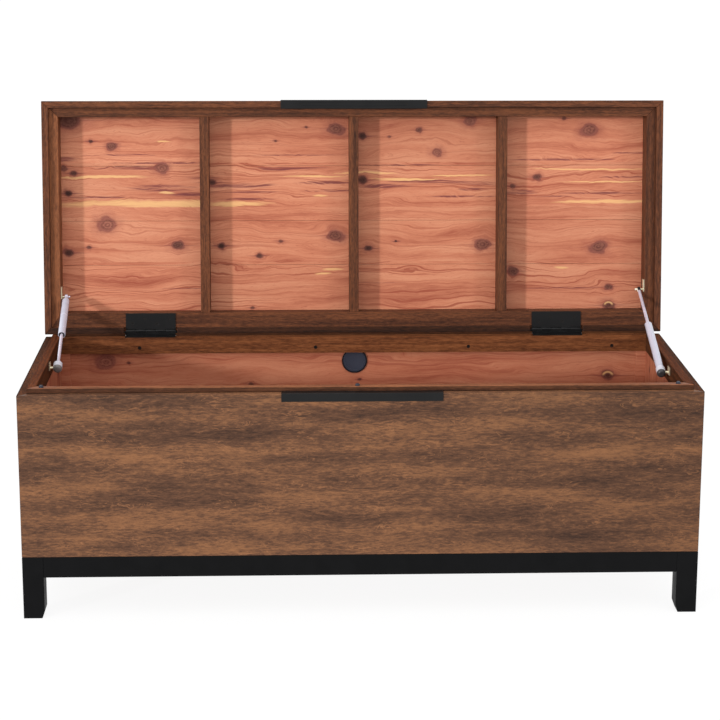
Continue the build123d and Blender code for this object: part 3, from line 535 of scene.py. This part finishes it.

materials = {
    "front": walnut("walnut_front", "long", WALNUT_OUTSIDE, tints=FRONT_TINTS),
    "back": walnut("walnut_back", "long", WALNUT_OUTSIDE, seed=21),
    "side": walnut("walnut_side", "deep", WALNUT_OUTSIDE, seed=8, tints=SIDE_TINTS, gloss=0.55,
                   specular=0.02),
    "lid_long": walnut("walnut_lid_long", "lid_long", WALNUT_LID, seed=4, straight=True),
    # The heel board carries painted shade on its rim face, in the hinge gap.
    "lid_heel": walnut("walnut_lid_heel", "lid_long", WALNUT_LID, seed=4, straight=True,
                       tints=HEEL_GAP_SHADE),
    "lid_up": walnut("walnut_lid_upright", "lid_up", WALNUT_LID, seed=6, straight=True),
    # The left inner strip gets lighter walnut tones: painted light over the frame's shadow.
    "lid_strip": walnut("walnut_lid_strip_lit", "lid_up", WALNUT_STRIP_LIT, seed=5, straight=True),
    "lid_top": walnut("walnut_lid_top", "lid_long", WALNUT_OUTSIDE, seed=15),
    "rail_long": walnut("walnut_rail_long", "long", WALNUT_RAIL, seed=10, straight=True,
                        tints=RAIL_STOP_SHADE),
    "lip_long": walnut("walnut_lip_long", "long", WALNUT_LIP, seed=17, straight=True, tints=LIP_LIGHT_AND_SHADE),
    "lip_deep": walnut("walnut_lip_deep", "deep", WALNUT_LIP, seed=11, straight=True, gloss=0.55,
                       specular=0.02, tints=(top_face_painted_light(LIP_TOP, LIP_TOP_HIGHLIGHT),)),
    "bottom": walnut("bottom_panel", "flat", WALNUT_RAIL, seed=12),
    "black_wood": coated("black_wood", colour(14, 14, 15), 0.50, 0.0020, 0.00003, specular=0.06),
    "black_metal": coated("black_metal", colour(15, 15, 16), 0.36, 0.0006, 0.00005, specular=0.22),
    "dark_screws": coated("dark_screws", colour(24, 22, 21), 0.35, specular=0.2),
    "bumper_rubber": coated("bumper_rubber", colour(38, 43, 56), 0.34, specular=0.3),
    "grommet_plastic": coated("grommet_plastic", colour(28, 29, 34), 0.28, specular=0.3),
    "grommet_cap": coated("grommet_cap", colour(52, 56, 68), 0.34, specular=0.3),
    "strut_paint": coated("strut_paint", colour(190, 190, 204), 0.22, specular=0.6, mottle=0.96),
    "strut_chrome": coated("strut_chrome", colour(206, 200, 214), 0.22, metallic=0.25, mottle=0.94),
    "strut_seal": coated("strut_seal", colour(20, 20, 22), 0.40, specular=0.2),
    "bracket_metal": coated("bracket_metal", colour(226, 216, 186), 0.34, metallic=0.6, mottle=0.94),
}

PALE_PLASTIC = colour(196, 196, 206)
RIVET_END = 0.005            # how much of the right eye's inner side is the bright rivet


def black_eye():
    """The right strut's black eye, with the bright end of its rivet on the inner side."""
    graph = Graph("black_eye")
    place = graph.place()
    skin = graph.noise(graph.scaled(place, STRUT_SKIN))
    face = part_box("right_strut_eye")[0].x + RIVET_END
    past = graph.fade(graph.dot(place, (1, 0, 0)), face - 0.0004, face)
    graph.set(Base_Color=graph.mix(past, colour(236, 228, 208), colour(20, 20, 22)),
              Roughness=graph.fade(skin, 0.3, 0.7, 0.30, 0.42), Specular_IOR_Level=0.2)
    return graph.material


materials["black_eye"] = black_eye()
CAPS = {"left": colour(112, 106, 104), "right": colour(56, 54, 55)}
for hand, cap in CAPS.items():
    pivot = joints[f"{hand}_strut_pivot"]["pos_m"]
    axis = joints[f"{hand}_strut_slide"]["axis"]
    materials[f"{hand}_socket"] = end_fitting(f"{hand}_strut_end", pivot, axis, PALE_PLASTIC, cap)


LINING_SEAMS = (0.220, 0.303)
# What the cedar is multiplied by: painted shade on the linings, deep inside the case, and the lid's other bays a
# little darker than the first.
LINING_SHADE = (0.69, 0.63, 0.60)
BACK_LINING_SHADE = (0.76, 0.70, 0.67)
LID_BAY_TINTS = ((1.0, 0.995, 0.99), (1.0, 0.98, 0.96), (0.95, 0.94, 0.92), (0.94, 0.92, 0.91))


def cedar_for(node):
    """The cedar of a lining board or of one bay of the lid."""
    if node.startswith("lid_cedar"):
        number = int(node[-1])
        return cedar(node, "lid_long", LID_SEAMS, within(LID_KNOTS, node), within(LID_PALE, node),
                     within(LID_PURPLE, node), LID_LINES, seed=number * 10.0,
                     tint=LID_BAY_TINTS[number - 1], crescents=within(LID_CRESCENTS, node))
    if node in ("lining_left", "lining_right"):
        return cedar(node, "upright_side", even_seams(node), SIDE_KNOTS, seed=50.0 + len(node),
                     tint=LINING_SHADE)
    if node == "lining_floor":
        return cedar(node, "flat", even_seams(node), FLOOR_KNOTS, seed=70.0, tint=LINING_SHADE)
    if node == "lining_back":
        return cedar(node, "long", LINING_SEAMS, BACK_KNOTS, seed=80.0, tint=BACK_LINING_SHADE,
                     crescents=BACK_CRESCENTS)
    return cedar(node, "long", LINING_SEAMS, seed=80.0, tint=LINING_SHADE)


BY_NODE = {"case_front_panel": "front", "case_back_panel": "back", "lid_top_panel": "lid_top",
           "lid_frame_back": "lid_heel", "lid_strip_left": "lid_strip", "lip_rail_back": "rail_long",
           "lip_rail_front": "lip_long", "grommet_cap": "grommet_cap", "right_strut_eye": "black_eye"}
BY_SLOT = {"walnut_case": "side", "walnut_rail": "lip_deep", "plywood": "bottom"}


def material_for(node):
    """The material of a CAD node: its own, or by its record slot and which way its grain runs."""
    slot = slots[node]
    if slot == "cedar":
        return cedar_for(node)
    if node in BY_NODE:
        return materials[BY_NODE[node]]
    if slot in ("walnut_lid", "walnut_inner"):
        return materials["lid_up" if node.endswith(("left", "right", "battens")) else "lid_long"]
    if slot.startswith("strut_socket"):
        return materials["left_socket" if node.startswith("left") else "right_socket"]
    return materials[BY_SLOT.get(slot, slot)]


# ---- edges: how far each kind of piece is rounded over, in metres ---------------------------------
EDGE = {"walnut_case": 0.0010, "walnut_lid": 0.0014, "walnut_inner": 0.0008, "walnut_rail": 0.0010,
        "cedar": 0.0004, "black_wood": 0.0012, "black_metal": 0.0003, "bracket_metal": 0.0003}


def round_edges(piece, width):
    weld = piece.modifiers.new("weld", "WELD")
    weld.merge_threshold = 0.00001
    bevel = piece.modifiers.new("rounded_edges", "BEVEL")
    bevel.width = width
    bevel.segments = 2
    bevel.limit_method = "ANGLE"
    bevel.angle_limit = math.radians(40)
    bevel.harden_normals = True


for name, piece in nodes.items():
    piece.data.materials.clear()
    piece.data.materials.append(material_for(name))
    if slots[name] in EDGE:
        round_edges(piece, EDGE[slots[name]])

# ---- floor, light and camera ---------------------------------------------------------------------
FLOOR_HALF = 60.0
floor_mesh = bpy.data.meshes.new("floor")
corners = [(x * FLOOR_HALF, y * FLOOR_HALF, 0) for x, y in ((-1, -1), (1, -1), (1, 1), (-1, 1))]
floor_mesh.from_pydata(corners, [], [(0, 1, 2, 3)])
floor = bpy.data.objects.new("floor", floor_mesh)
bpy.context.scene.collection.objects.link(floor)
floor_paint = Graph("floor_paint")
floor_paint.set(Base_Color=(0.12, 0.12, 0.12, 1), Roughness=0.9, Specular_IOR_Level=0.0,
                Emission_Color=(1, 1, 1, 1), Emission_Strength=0.9)
floor_mesh.materials.append(floor_paint.material)

world = bpy.data.worlds.new("studio")
world.use_nodes = True
world.node_tree.nodes["Background"].inputs["Color"].default_value = (1.0, 1.0, 1.0, 1)
world.node_tree.nodes["Background"].inputs["Strength"].default_value = 1.0
bpy.context.scene.world = world


def sun(name, azimuth, elevation, strength, softness):
    """Light from that far round to the left of the front, and above the horizon, in degrees."""
    light = bpy.data.lights.new(name, "SUN")
    light.energy = strength
    light.angle = math.radians(softness)
    lamp = bpy.data.objects.new(name, light)
    lamp.rotation_euler = (math.radians(90 - elevation), 0, -math.radians(azimuth))
    bpy.context.scene.collection.objects.link(lamp)


sun("key", 47, 9, 1.84, 4)
sun("right_fill", -45, 12, 0.37, 8)
sun("top_fill", 10, 60, 0.50, 40)

CAMERA_PLACE = (-0.1299, -3.7688, 1.3396)
CAMERA_TURN = -2.055
CAMERA_TILT = 12.831
CAMERA_ROLL = 0.167
LENS_MM = 102.0
CAMERA_SHIFT = -0.0524
lens = bpy.data.cameras.new("camera")
lens.lens = LENS_MM
lens.sensor_width = 36.0
lens.shift_y = CAMERA_SHIFT
camera = bpy.data.objects.new("camera", lens)
camera.matrix_world = (Matrix.Translation(CAMERA_PLACE)
                       @ Matrix.Rotation(math.radians(CAMERA_TURN), 4, "Z")
                       @ Matrix.Rotation(math.radians(90 - CAMERA_TILT), 4, "X")
                       @ Matrix.Rotation(math.radians(CAMERA_ROLL), 4, "Z"))
bpy.context.scene.collection.objects.link(camera)
bpy.context.scene.camera = camera
bpy.context.scene.view_settings.view_transform = "Standard"
